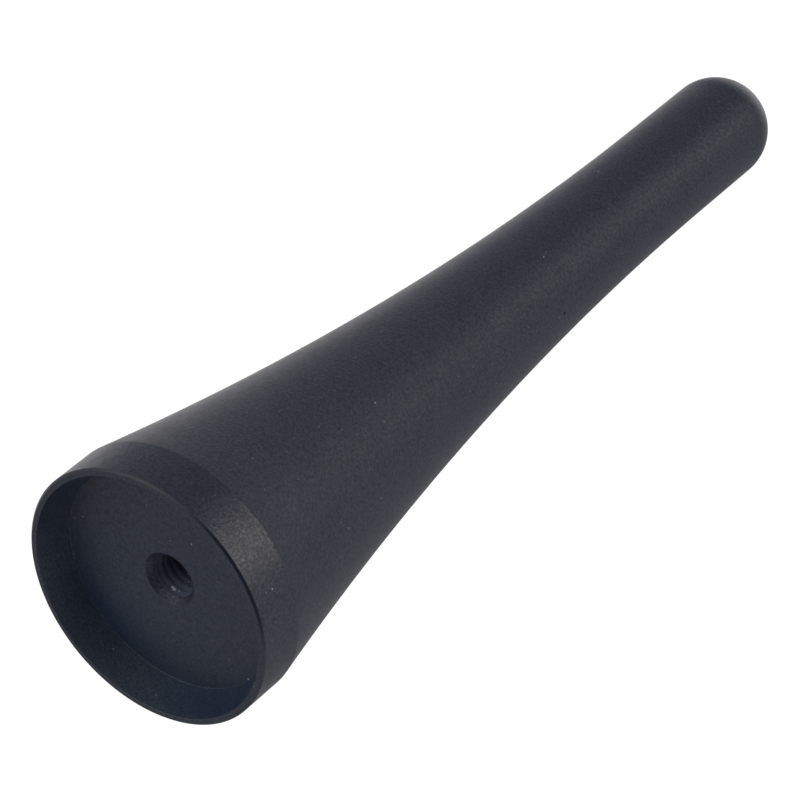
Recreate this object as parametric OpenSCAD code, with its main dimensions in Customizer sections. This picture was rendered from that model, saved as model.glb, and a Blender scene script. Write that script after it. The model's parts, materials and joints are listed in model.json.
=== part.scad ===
// Short aerial mast for a car roof, turned from one bar of aluminium and anodised dark.
// It is wide at the roof end, flares in to a plain rod, and ends in a round tip.
// The origin is the centre of the rim's face. +Z runs along the mast to its tip.
// Lengths are in millimetres.

/* [Mast] */
// Length from the rim's face to the end of the tip
mast_l = 96; // [92:1:140]
// Diameter of the rod and of its round tip
rod_d = 10.4; // [9:0.1:12]
// Diameter of the rim at the roof end
base_d = 25; // [23:0.5:32]

/* [Flare] */
// Height of the straight band above the rim's face
band_h = 4.7; // [3:0.1:9]
// Height at which the flare has narrowed to the rod
flare_top = 81.5; // [50:0.5:85]
// Bevel around the outside of the rim's face
rim_bevel = 0.2; // [0.1:0.05:0.35]

/* [Recess] */
// Width of the rim from the outside to the recess, bevel included
rim_w = 0.65; // [0.5:0.05:1.5]
// Depth of the recess under the mast
recess_depth = 3.3; // [2.5:0.1:4.5]
// How far the recess narrows on its radius from the mouth to the floor
recess_draw = 1.05; // [0:0.05:1.5]

/* [Thread] */
// Outside diameter of the stud's thread
thread_d = 5; // [4:1:6]
// Pitch of the thread
thread_pitch = 0.8; // [0.7:0.1:1]
// Depth of the hole's full diameter below the recess floor
hole_depth = 14; // [8:0.5:24]
// How much wider than the thread the countersink is, on its diameter
countersink_over = 0.2; // [0.1:0.1:1]
// Angle between the sides of the hole's drilled end
drill_angle = 118; // [90:1:140]

/* [Hidden] */
$fn = 240;
coat = [0.17, 0.18, 0.21];

// Depth of a full metric thread on its diameter, for each millimetre of pitch
thread_height = 1.0825;
// A cut runs this far past the face that it opens
overrun = 1;
// Steps around the flare's long arc
arc_steps = 1440;

rod_r = rod_d / 2;
base_r = base_d / 2;
dome_z = mast_l - rod_r;
mouth_r = base_r - rim_w;
floor_r = mouth_r - recess_draw;
core_r = (thread_d - thread_height * thread_pitch) / 2;
countersink_r = (thread_d + countersink_over) / 2;
countersink_depth = countersink_r - core_r;
drill_end = core_r / tan(drill_angle / 2);

// The flare is one hollow arc, from the band's upper edge to a tangent with the rod.
flare_h = flare_top - band_h;
flare_in = base_r - rod_r;
flare_r = (flare_h * flare_h + flare_in * flare_in) / (2 * flare_in);

// Half of the outside, as a flat shape to the right of the axis
module outline() {
    translate([0, flare_top]) square([rod_r, dome_z - flare_top]);
    intersection() {
        translate([0, dome_z]) circle(rod_r);
        translate([0, dome_z]) square(rod_r);
    }
    difference() {
        polygon([
            [0, 0],
            [base_r - rim_bevel, 0],
            [base_r, rim_bevel],
            [base_r, flare_top],
            [0, flare_top]
        ]);
        translate([rod_r + flare_r, flare_top]) circle(flare_r, $fn = arc_steps);
    }
}

// Recess that sits over the boss of the roof base
module recess() {
    slope = recess_draw / recess_depth;
    translate([0, 0, -overrun])
        cylinder(h = recess_depth + overrun, r1 = mouth_r + slope * overrun, r2 = floor_r);
}

// Blind hole for the roof base's stud, with a countersunk mouth and a drilled end
module stud_hole() {
    translate([0, 0, recess_depth - overrun]) cylinder(h = hole_depth + overrun, r = core_r);
    translate([0, 0, recess_depth - overrun])
        cylinder(h = countersink_depth + overrun, r1 = countersink_r + overrun, r2 = core_r);
    translate([0, 0, recess_depth + hole_depth]) cylinder(h = drill_end, r1 = core_r, r2 = 0);
}

module mast() {
    color(coat) difference() {
        rotate_extrude() outline();
        recess();
        stud_hole();
    }
}

mast();
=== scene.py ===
import json
import math

import bpy
from mathutils import Matrix, Vector

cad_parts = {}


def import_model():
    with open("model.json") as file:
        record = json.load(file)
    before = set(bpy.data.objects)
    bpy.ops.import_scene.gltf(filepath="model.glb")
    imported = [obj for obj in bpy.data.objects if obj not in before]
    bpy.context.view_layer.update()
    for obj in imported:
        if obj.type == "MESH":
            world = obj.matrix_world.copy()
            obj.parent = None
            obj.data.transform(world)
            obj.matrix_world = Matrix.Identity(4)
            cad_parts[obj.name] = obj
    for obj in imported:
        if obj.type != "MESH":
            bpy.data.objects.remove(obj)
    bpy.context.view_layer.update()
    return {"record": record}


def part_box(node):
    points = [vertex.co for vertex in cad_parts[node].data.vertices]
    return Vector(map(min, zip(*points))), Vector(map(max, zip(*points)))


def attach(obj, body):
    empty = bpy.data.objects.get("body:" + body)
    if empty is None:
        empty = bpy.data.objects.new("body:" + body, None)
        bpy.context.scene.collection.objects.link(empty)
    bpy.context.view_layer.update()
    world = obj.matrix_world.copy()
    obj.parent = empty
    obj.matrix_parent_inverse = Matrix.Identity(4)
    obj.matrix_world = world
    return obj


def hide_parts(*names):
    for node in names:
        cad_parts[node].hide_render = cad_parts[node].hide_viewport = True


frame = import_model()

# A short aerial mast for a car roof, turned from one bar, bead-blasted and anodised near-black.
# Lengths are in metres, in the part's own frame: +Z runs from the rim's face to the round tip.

MM = 0.001

# Sizes that the frame gives
_, mast_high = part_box("mast")
mounts = {mount["name"]: mount for mount in frame["record"]["mounts"]}
hole = mounts["stud_thread"]
BASE_R = mast_high.x
MAST_L = mast_high.z
CORE_R = hole["dims"]["r_mm"] * MM
HOLE_WALL = hole["dims"]["length_mm"] * MM

# Sizes that repeat the part's own
ROD_R = 5.2 * MM
BAND_H = 4.7 * MM
FLARE_TOP = 81.5 * MM
RIM_BEVEL = 0.2 * MM
RIM_W = 0.65 * MM
RECESS_DEPTH = 3.3 * MM
RECESS_DRAW = 1.05 * MM
THREAD_PITCH = 0.8 * MM
COUNTERSINK_R = 2.6 * MM
DRILL_ANGLE = math.radians(118)

MOUTH_R = BASE_R - RIM_W
FLOOR_R = MOUTH_R - RECESS_DRAW
DOME_Z = MAST_L - ROD_R
FLARE_RISE = FLARE_TOP - BAND_H
FLARE_INSET = BASE_R - ROD_R
FLARE_R = (FLARE_RISE ** 2 + FLARE_INSET ** 2) / (2 * FLARE_INSET)
COUNTERSINK_END = RECESS_DEPTH + COUNTERSINK_R - CORE_R
HOLE_END = COUNTERSINK_END + HOLE_WALL
DRILL_POINT = HOLE_END + CORE_R / math.tan(DRILL_ANGLE / 2)

# The thread, which the part's source leaves to this script, and which hardly shows in the photograph.
# Half the width of its groove, at the mouth and at the flat root, is a share of the pitch.
THREAD_DEPTH = 0.06 * THREAD_PITCH
GROOVE_MOUTH = 0.375
GROOVE_ROOT = 0.0625
THREAD_END = RECESS_DEPTH + 12 * MM
THREAD_TURN = math.radians(45)

# Steps of the mesh. Rows for each turn of the thread are closer where the mouth can be looked into.
COLUMNS = 192
TIP_STEPS = 28
FLARE_STEPS = 72
EASE_STEPS = 4
CLOSE_ROWS = 16
WIDE_ROWS = 8
CLOSE_DEPTH = 4 * MM
DRILL_RINGS = (0.1, 0.5, 0.85)
ROD_MARGIN = 0.4 * MM
HOLE_MARGIN = 0.05 * MM

# Materials of the mesh, by their index
OUTSIDE, RECESS_WALL, RECESS_FLOOR, TURNED, TAPPED, COUNTERSINK = range(6)

# Darker and lighter patches of the anodised colour
OUTSIDE_SHADES = (0.006, 0.0095, 0.023, 1), (0.009, 0.0125, 0.027, 1)
# Painted light: the recess wall and floor are the same anodise, tinted bluer, less red and slightly
# lighter for the light in the recess
RECESS_WALL_PAINTED_LIGHT = (0.0032, 0.0110, 0.0275, 1), (0.0052, 0.0138, 0.0315, 1)
RECESS_FLOOR_PAINTED_LIGHT = (0.0042, 0.0108, 0.0260, 1), (0.0066, 0.0134, 0.0300, 1)

# Blasted finishes: depth of the craters, uneven share of the gloss, roughness, gloss, and shades
BLASTED = {
    "blasted_outside": (0.010 * MM, 0.5, 0.41, 0.5, OUTSIDE_SHADES),
    # The wall and floor rows colour the recess with painted light
    "blasted_wall_painted_light": (0.010 * MM, 0.35, 0.41, 0.47, RECESS_WALL_PAINTED_LIGHT),
    "blasted_floor_painted_light": (0.008 * MM, 0.35, 0.41, 0.5, RECESS_FLOOR_PAINTED_LIGHT),
    "blasted_countersink": (0.008 * MM, 0.6, 0.53, 0.3, OUTSIDE_SHADES),
}

TURNED_COLOUR = (0.002, 0.004, 0.013, 1)
# Painted light: the tapped wall is a far lighter navy than the anodise, lifting the shade deep in the hole
TAPPED_PAINTED_LIGHT_COLOUR = (0.068, 0.083, 0.117, 1)
WORN_COLOUR = (0.95, 0.95, 0.95, 1)
DUST_COLOUR = (0.20, 0.20, 0.21, 1)
NICK_COLOUR = (0.001, 0.001, 0.002, 1)
COAT_IOR = 1.5

# How often each grain repeats in a metre
CRATER_SCALE = 5200.0
GRIT_SCALE = 6000.0
GLOSS_SCALE = 3800.0
SHEEN_SCALE = 900.0
CLOUD_SCALE = 170.0
MOTE_SCALE = 800.0
RAGGED_SCALE = 9000.0
LATHE_SCALE = 9000.0
LATHE_SHEEN_SCALE = 700.0
TAP_SCALE = 2600.0
TAP_SHEEN_SCALE = 1500.0

# Radii of the grains of dust, in millimetres
COARSE, MEDIUM, SMALL, FINE = 0.13, 0.11, 0.08, 0.07

# Dust, nicks, and thread crests worn bright, each placed where the photograph shows it:
# angle in degrees from +X towards +Y, height, and radius, in millimetres
OUTSIDE_DUST = [
    (298.5, 2.5, COARSE),
    (282, 1.1, SMALL),
    (266.5, 7.8, FINE),
    (253, 9.6, SMALL),
    (259.5, 13.1, SMALL),
    (300.5, 14.0, FINE),
    (306, 14.8, SMALL),
    (259, 18.3, FINE),
    (309, 20.5, SMALL),
    (278, 25.1, SMALL),
    (267, 25.7, COARSE),
    (237.5, 28.8, SMALL),
    (314, 53.6, SMALL),
    (260.5, 55.5, MEDIUM),
    (221.5, 70.7, MEDIUM),
]
WALL_DUST = [
    (53, 1.2, FINE),
    (82, 2.2, SMALL),
]
NICKS = [
    (314, 54.5, 0.24),
    (326.5, 79.4, 0.14),
]
WORN_R = 2.1 * MM
WORN = [
    (52, 4.5, 0.08),
    (64, 4.4, 0.20),
    (71, 4.5, 0.16),
    (50, 5.5, 0.08),
    (62, 5.7, 0.08),
    (54, 5.9, 0.08),
    (62, 6.4, 0.07),
    (71.5, 6.6, 0.13),
]
# The same on the recess floor, as x, y and radius in millimetres
FLOOR_DUST = [
    (10.7, 0.4, COARSE),
    (-9.2, 4.8, SMALL),
    (-8.8, 3.8, SMALL),
    (-6.9, 8.2, SMALL),
    (-1.1, -5.4, MEDIUM),
]

# Light from all round, and broad glows in it: azimuth from -Y towards +X, elevation and spread in
# degrees, and strength
EVEN_LIGHT = 0.175
GLOWS = {
    "left": (-77, -38, 40, 2.18),
    "low": (67, -29, 50, 1.77),
    "back": (-156, 26, 30, 1.02),
    "top": (-161, 81, 21, 1.45),
}
SKY_TINT = (1.02, 1.0, 1.005, 1)
BACKDROP_STRENGTH = 1.05

# The side from which little light comes: azimuth, elevation, inner and outer reach in degrees, and
# the share of the light that is left
DIM_SIDE = (37, -48, 30, 47, 0.15)

# One soft round lamp: azimuth and elevation in degrees, radius, power in watts, and colour
LAMP_SIDE = (15, 17)
LAMP_DISTANCE = 0.6
LAMP_RADIUS = 0.24
LAMP_POWER = 1.83
LAMP_COLOUR = (1.0, 0.925, 0.83)
LAMP_AIM = Vector((0, 0, 45 * MM))


def link(name, data):
    made = bpy.data.objects.new(name, data)
    bpy.context.scene.collection.objects.link(made)
    return made


def camera():
    """Camera at the photograph's place: under the rim, with the mast running off to the upper right."""
    frame_pixels = 800
    focal_pixels = 3899.4
    rim_pixel = (145.302, 599.349)
    rim_distance = 326.284 * MM
    mast_heading = math.radians(39.5994)
    mast_recede = math.radians(41.3333)

    half = frame_pixels / 2
    rim = Vector((rim_pixel[0] - half, half - rim_pixel[1], -focal_pixels)) * (rim_distance / focal_pixels)
    level = math.cos(mast_recede)
    along_x = math.cos(mast_heading) * level
    along_y = math.sin(mast_heading) * level
    mast_axis = Vector((along_x, along_y, -math.sin(mast_recede)))
    outward = -rim - (-rim).dot(mast_axis) * mast_axis
    outward.normalize()
    to_part = Matrix((mast_axis.cross(outward), -outward, mast_axis))

    data = bpy.data.cameras.new("camera")
    data.sensor_width = 36
    data.lens = focal_pixels / frame_pixels * data.sensor_width
    data.clip_start = 0.01
    data.clip_end = 20
    eye = link("camera", data)
    eye.matrix_world = Matrix.Translation(to_part @ -rim) @ to_part.to_4x4()
    bpy.context.scene.camera = eye


def arc(centre, radius, start, end, steps):
    """Points (radius, height) on an arc, with angles in degrees from the outward direction."""
    points = []
    for step in range(steps + 1):
        angle = math.radians(start + (end - start) * step / steps)
        points.append((centre[0] + radius * math.cos(angle), centre[1] + radius * math.sin(angle)))
    return points


def eased(corner, before, after, radius):
    """A corner of the turned outline, rounded to a small radius, with a row close beside each end."""
    corner, before, after = Vector(corner), Vector(before), Vector(after)
    back, ahead = (before - corner).normalized(), (after - corner).normalized()
    half_angle = back.angle(ahead) / 2
    reach = radius / math.tan(half_angle)
    centre = corner + (back + ahead).normalized() * (radius / math.sin(half_angle))
    first, last = corner + back * reach, corner + ahead * reach
    beside = radius / 2
    points = [tuple(first + back * beside)]
    for step in range(EASE_STEPS + 1):
        chord = first.lerp(last, step / EASE_STEPS) - centre
        points.append(tuple(centre + chord.normalized() * radius))
    points.append(tuple(last + ahead * beside))
    return points


def outside_rows():
    """The turned outline from the tip to the countersink, as (radius, height)."""
    flare_centre = (ROD_R + FLARE_R, FLARE_TOP)
    band_angle = 180 + math.degrees(math.asin(FLARE_RISE / FLARE_R))
    flare = arc(flare_centre, FLARE_R, 180, band_angle, FLARE_STEPS)

    rows = arc((0, DOME_Z), ROD_R, 90, 0, TIP_STEPS)[1:]
    for height in (DOME_Z - ROD_MARGIN, (DOME_Z + FLARE_TOP) / 2, FLARE_TOP + ROD_MARGIN):
        rows.append((ROD_R, height))
    rows += flare[:-1]

    # Each corner of the outline, with the radius that eases it
    corners = [
        (flare[-1], 0.12 * MM),
        ((BASE_R, RIM_BEVEL), 0.04 * MM),
        ((BASE_R - RIM_BEVEL, 0), 0.04 * MM),
        ((MOUTH_R, 0), 0.05 * MM),
        ((FLOOR_R, RECESS_DEPTH), 0.03 * MM),
        ((COUNTERSINK_R, RECESS_DEPTH), 0.04 * MM),
    ]
    path = [flare[-2]] + [corner for corner, _ in corners] + [(CORE_R, COUNTERSINK_END)]
    for index, (corner, radius) in enumerate(corners):
        rows += eased(corner, path[index], path[index + 2], radius)
    return rows


def outside_radius(height):
    """Radius of the band, the flare or the rod at a height."""
    if height < BAND_H:
        return BASE_R
    if height > FLARE_TOP:
        return ROD_R
    return ROD_R + FLARE_R - math.sqrt(FLARE_R ** 2 - (FLARE_TOP - height) ** 2)


def recess_radius(height):
    return MOUTH_R - RECESS_DRAW * height / RECESS_DEPTH


def cone_radius(height):
    return COUNTERSINK_R - (height - RECESS_DEPTH)


def thread_radius(height, angle):
    """Radius of the tapped wall: a right-hand V groove with flat roots, cut outward from the core."""
    turn = (height / THREAD_PITCH - (angle + THREAD_TURN) / math.tau + 0.5) % 1.0 - 0.5
    groove = (GROOVE_MOUTH - abs(turn)) / (GROOVE_MOUTH - GROOVE_ROOT)
    groove = min(max(groove, 0.0), 1.0)
    run_in = min(max((height - COUNTERSINK_END) / THREAD_PITCH, 0.0), 1.0)
    run_out = min(max((THREAD_END - height) / THREAD_PITCH, 0.0), 1.0)
    return CORE_R + THREAD_DEPTH * groove * run_in * run_out


def bore_heights():
    """Heights of the rows down the hole, to the end of its straight wall."""
    heights = []
    height = RECESS_DEPTH + HOLE_MARGIN
    while height < THREAD_END:
        heights.append(height)
        rows = CLOSE_ROWS if height < RECESS_DEPTH + CLOSE_DEPTH else WIDE_ROWS
        height += THREAD_PITCH / rows
    heights += [THREAD_END, (THREAD_END + HOLE_END) / 2, HOLE_END - HOLE_MARGIN, HOLE_END]
    return heights


def finish_at(radius, height):
    """The finish of a face: the rim's bevel was turned last, and the hole was tapped after blasting."""
    margin = 0.01 * MM
    if radius > BASE_R - RIM_BEVEL - margin and height < RIM_BEVEL + margin:
        return TURNED
    if height > RECESS_DEPTH and radius < COUNTERSINK_R:
        return TAPPED if radius > cone_radius(height) + margin else COUNTERSINK
    if radius < MOUTH_R and 0 < height < RECESS_DEPTH + margin:
        return RECESS_WALL if radius > FLOOR_R else RECESS_FLOOR
    return OUTSIDE


def mast_mesh():
    """One closed skin, revolved about the axis, whose rows in the hole follow the thread."""
    angles = [math.tau * column / COLUMNS for column in range(COLUMNS)]
    rings = [[(radius, height)] * COLUMNS for radius, height in outside_rows()]
    first_bore_ring = len(rings)
    for height in bore_heights():
        cone = cone_radius(height)
        rings.append([(max(cone, thread_radius(height, angle)), height) for angle in angles])
    for share in DRILL_RINGS:
        ring = (CORE_R * (1 - share), HOLE_END + (DRILL_POINT - HOLE_END) * share)
        rings.append([ring] * COLUMNS)

    vertices = [
        (radius * math.cos(angle), radius * math.sin(angle), height)
        for ring in rings
        for (radius, height), angle in zip(ring, angles)
    ]
    tip, point = len(vertices), len(vertices) + 1
    vertices += [(0, 0, MAST_L), (0, 0, DRILL_POINT)]

    faces, finishes = [], []
    last = (len(rings) - 1) * COLUMNS
    for column in range(COLUMNS):
        beside = (column + 1) % COLUMNS
        faces.append((tip, column, beside))
        finishes.append(OUTSIDE)
        for ring in range(len(rings) - 1):
            upper, lower = ring * COLUMNS, (ring + 1) * COLUMNS
            faces.append((upper + column, lower + column, lower + beside, upper + beside))
            radius = (rings[ring][column][0] + rings[ring + 1][beside][0]) / 2
            height = (rings[ring][column][1] + rings[ring + 1][beside][1]) / 2
            deep = ring >= first_bore_ring and height > COUNTERSINK_END
            finishes.append(TAPPED if deep else finish_at(radius, height))
        faces.append((last + column, point, last + beside))
        finishes.append(TAPPED)

    mesh = bpy.data.meshes.new("turned_mast")
    mesh.from_pydata(vertices, [], faces)
    mesh.polygons.foreach_set("use_smooth", [True] * len(faces))
    mesh.polygons.foreach_set("material_index", finishes)
    mesh.update()
    return mesh


def around(rows, radius_at):
    """Places on a turned surface, each with its size, from rows of angle, height and size."""
    places = []
    for angle, height, size in rows:
        turn = math.radians(angle)
        radius = radius_at(height * MM)
        place = Vector((radius * math.cos(turn), radius * math.sin(turn), height * MM))
        places.append((place, size * MM))
    return places


def dust_places():
    floor_places = [(Vector((x * MM, y * MM, RECESS_DEPTH)), size * MM) for x, y, size in FLOOR_DUST]
    return around(OUTSIDE_DUST, outside_radius) + around(WALL_DUST, recess_radius) + floor_places


def worn_places():
    return around(WORN, lambda height: WORN_R)


class Nodes:
    """The nodes of a material or a world, made and joined by name."""

    def __init__(self, owner, output):
        owner.use_nodes = True
        self.owner = owner
        self.tree = owner.node_tree
        self.tree.nodes.clear()
        self.output = self.add(output)
        self.coordinates = self.add("ShaderNodeTexCoord")
        self.place = self.coordinates.outputs["Object"]

    def add(self, kind, inputs=None, **settings):
        node = self.tree.nodes.new(kind)
        for key, value in settings.items():
            setattr(node, key, value)
        for key, value in (inputs or {}).items():
            if hasattr(value, "is_output"):
                self.tree.links.new(value, node.inputs[key])
            else:
                node.inputs[key].default_value = value
        return node

    def noise(self, scale, detail=2.0, roughness=0.5):
        inputs = {"Vector": self.place, "Scale": scale, "Detail": detail, "Roughness": roughness}
        return self.add("ShaderNodeTexNoise", inputs).outputs["Fac"]

    def span(self, value, low, high, to_low=0.0, to_high=1.0, kind="LINEAR"):
        inputs = {"Value": value, "From Min": low, "From Max": high, "To Min": to_low, "To Max": to_high}
        return self.add("ShaderNodeMapRange", inputs, interpolation_type=kind).outputs["Result"]

    def math(self, operation, *values):
        return self.add("ShaderNodeMath", dict(enumerate(values)), operation=operation).outputs[0]

    def vectors(self, operation, *values):
        return self.add("ShaderNodeVectorMath", dict(enumerate(values)), operation=operation).outputs

    def blend(self, share, first, second):
        """A mix of two colours; the node keeps its colour sockets seventh and eighth."""
        inputs = {"Factor": share, 6: first, 7: second}
        return self.add("ShaderNodeMix", inputs, data_type="RGBA").outputs[2]

    def spots(self, places):
        """1 in small ragged spots at the given places, each with its size, and 0 elsewhere."""
        grain = self.add("ShaderNodeTexNoise", {"Vector": self.place, "Scale": RAGGED_SCALE})
        spread = 0.08 * MM
        shift = self.vectors("MULTIPLY_ADD", grain.outputs["Color"], (spread,) * 3, (-spread / 2,) * 3)[0]
        here = self.vectors("ADD", self.place, shift)[0]
        found = 0.0
        for place, size in places:
            gap = self.vectors("DISTANCE", here, place)["Value"]
            found = self.math("MAXIMUM", self.span(gap, size * 0.5, size * 0.85, 1.0, 0.0), found)
        return found

    def surface(self, shader):
        self.tree.links.new(shader.outputs[0], self.output.inputs["Surface"])
        return self.owner


def material(name):
    return Nodes(bpy.data.materials.new(name), "ShaderNodeOutputMaterial")


def blasted_finish(name):
    """Fine sandy satin of a bead-blasted, anodised surface, with the dust and nicks that it caught."""
    depth, uneven, roughness, gloss, (dark, light) = BLASTED[name]
    shader = material(name)
    craters = shader.add(
        "ShaderNodeTexVoronoi",
        {"Vector": shader.place, "Scale": CRATER_SCALE, "Smoothness": 0.25},
        feature="SMOOTH_F1",
    ).outputs["Distance"]
    relief = shader.math("ADD", craters, shader.noise(GRIT_SCALE, 2.0, 0.6))
    bump = shader.add("ShaderNodeBump", {"Strength": 1.0, "Distance": depth, "Height": relief})

    # On the recess wall and floor these shades hold painted light: the anodise tinted bluer and slightly
    # lighter
    cloud = shader.noise(CLOUD_SCALE, 4.0, 0.65)
    colour = shader.blend(shader.span(cloud, 0.35, 0.65), dark, light)
    glints = shader.noise(GLOSS_SCALE, 2.0, 0.6)
    shine = shader.span(glints, 0.25, 0.75, gloss * (1 - uneven), gloss * (1 + uneven))
    sheen = shader.span(shader.noise(SHEEN_SCALE, 3.0), 0.3, 0.7, roughness - 0.03, roughness + 0.03)

    motes = shader.add("ShaderNodeTexVoronoi", {"Vector": shader.place, "Scale": MOTE_SCALE})
    fine_dust = shader.span(motes.outputs["Distance"], 0.03, 0.05, 0.7, 0.0)
    dust = shader.math("MAXIMUM", shader.spots(dust_places()), fine_dust)
    nicks = shader.spots(around(NICKS, outside_radius))
    dusty = shader.blend(dust, colour, DUST_COLOUR)
    principled = shader.add(
        "ShaderNodeBsdfPrincipled",
        {
            "Base Color": shader.blend(nicks, dusty, NICK_COLOUR),
            "Roughness": sheen,
            "IOR": COAT_IOR,
            "Specular IOR Level": shader.math("MULTIPLY", shine, shader.span(nicks, 0.0, 1.0, 1.0, 0.1)),
            "Normal": bump.outputs["Normal"],
        },
    )
    return shader.surface(principled)


def turned_finish():
    """Fine lathe marks of the bevel, which was cut after blasting."""
    shader = material("turned_anodised")
    marks = shader.noise(LATHE_SCALE)
    bump = shader.add("ShaderNodeBump", {"Strength": 0.2, "Distance": 0.02 * MM, "Height": marks})
    principled = shader.add(
        "ShaderNodeBsdfPrincipled",
        {
            "Base Color": TURNED_COLOUR,
            "Roughness": shader.span(shader.noise(LATHE_SHEEN_SCALE), 0.3, 0.7, 0.30, 0.38),
            "IOR": COAT_IOR,
            "Specular IOR Level": 0.30,
            "Normal": bump.outputs["Normal"],
        },
    )
    return shader.surface(principled)


def tapped_finish():
    """Dark, smooth wall of the tapped hole, with crests worn bright by the stud; its colour is painted
    light, a far lighter navy than the anodise, lifting the shade deep in the hole.
    """
    shader = material("tapped_painted_light")
    marks = shader.noise(TAP_SCALE)
    bump = shader.add("ShaderNodeBump", {"Strength": 0.25, "Distance": 0.04 * MM, "Height": marks})
    worn = shader.spots(worn_places())
    principled = shader.add(
        "ShaderNodeBsdfPrincipled",
        {
            "Base Color": shader.blend(worn, TAPPED_PAINTED_LIGHT_COLOUR, WORN_COLOUR),
            "Metallic": worn,
            "Roughness": shader.span(shader.noise(TAP_SHEEN_SCALE), 0.3, 0.7, 0.5, 0.6),
            "IOR": COAT_IOR,
            "Specular IOR Level": 0.25,
            "Normal": bump.outputs["Normal"],
        },
    )
    return shader.surface(principled)


def mast():
    mesh = mast_mesh()
    finishes = {
        OUTSIDE: blasted_finish("blasted_outside"),
        RECESS_WALL: blasted_finish("blasted_wall_painted_light"),
        RECESS_FLOOR: blasted_finish("blasted_floor_painted_light"),
        TURNED: turned_finish(),
        TAPPED: tapped_finish(),
        COUNTERSINK: blasted_finish("blasted_countersink"),
    }
    for index in sorted(finishes):
        mesh.materials.append(finishes[index])
    piece = link("turned_mast", mesh)
    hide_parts("mast")
    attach(piece, "root")


def toward(azimuth, elevation):
    """Unit vector at an azimuth from -Y towards +X and an elevation, in degrees."""
    turn, tilt = math.radians(azimuth), math.radians(elevation)
    level = math.cos(tilt)
    return Vector((math.sin(turn) * level, -math.cos(turn) * level, math.sin(tilt)))


def world():
    """Plain white to the camera, and elsewhere an even light with broad glows and a dim side."""
    sky = Nodes(bpy.data.worlds.new("studio"), "ShaderNodeOutputWorld")
    bpy.context.scene.world = sky.owner
    looking = sky.coordinates.outputs["Generated"]
    light = EVEN_LIGHT
    for azimuth, elevation, spread, strength in GLOWS.values():
        nearness = sky.vectors("DOT_PRODUCT", looking, toward(azimuth, elevation))["Value"]
        width = 1 - math.cos(math.radians(spread))
        fall = sky.math("DIVIDE", sky.math("SUBTRACT", nearness, 1.0), width)
        light = sky.math("MULTIPLY_ADD", sky.math("EXPONENT", fall), strength, light)

    azimuth, elevation, inner, outer, least = DIM_SIDE
    inner, outer = math.cos(math.radians(inner)), math.cos(math.radians(outer))
    nearness = sky.vectors("DOT_PRODUCT", looking, toward(azimuth, elevation))["Value"]
    dimming = sky.span(nearness, outer, inner, 1.0, least, "SMOOTHSTEP")
    dimmed = sky.math("MULTIPLY", light, dimming)
    glow = sky.add("ShaderNodeBackground", {"Color": SKY_TINT, "Strength": dimmed})
    white = sky.add("ShaderNodeBackground", {"Color": (1, 1, 1, 1), "Strength": BACKDROP_STRENGTH})
    seen = sky.add("ShaderNodeLightPath").outputs["Is Camera Ray"]
    sky.surface(sky.add("ShaderNodeMixShader", {0: seen, 1: glow.outputs[0], 2: white.outputs[0]}))


def lamp():
    """A soft disc of light, turned to the middle of the mast."""
    side = toward(*LAMP_SIDE)
    data = bpy.data.lights.new("key", "AREA")
    data.shape = "DISK"
    data.size = 2 * LAMP_RADIUS
    data.energy = LAMP_POWER
    data.color = LAMP_COLOUR
    disc = link("key", data)
    disc.location = LAMP_AIM + side * LAMP_DISTANCE
    disc.rotation_mode = "QUATERNION"
    disc.rotation_quaternion = side.to_track_quat("Z", "Y")
    disc.visible_camera = False


def floor():
    """Plain white floor, far enough below for the photograph's camera to look up at the recess."""
    depth = 1.2
    half = 5.0
    pale = (0.93, 0.93, 0.93, 1)
    mesh = bpy.data.meshes.new("floor")
    corners = [(x, y, -depth) for x, y in ((-half, -half), (half, -half), (half, half), (-half, half))]
    mesh.from_pydata(corners, [], [(0, 1, 2, 3)])
    mesh.update()
    shader = material("pale_floor")
    emission = shader.add("ShaderNodeEmission", {"Color": pale, "Strength": 1.0})
    mesh.materials.append(shader.surface(emission))
    plane = link("floor", mesh)
    plane.visible_diffuse = False
    plane.visible_glossy = False
    plane.visible_shadow = False


def main():
    scene = bpy.context.scene
    scene.view_settings.view_transform = "Standard"
    scene.view_settings.look = "None"
    camera()
    mast()
    world()
    lamp()
    floor()


main()
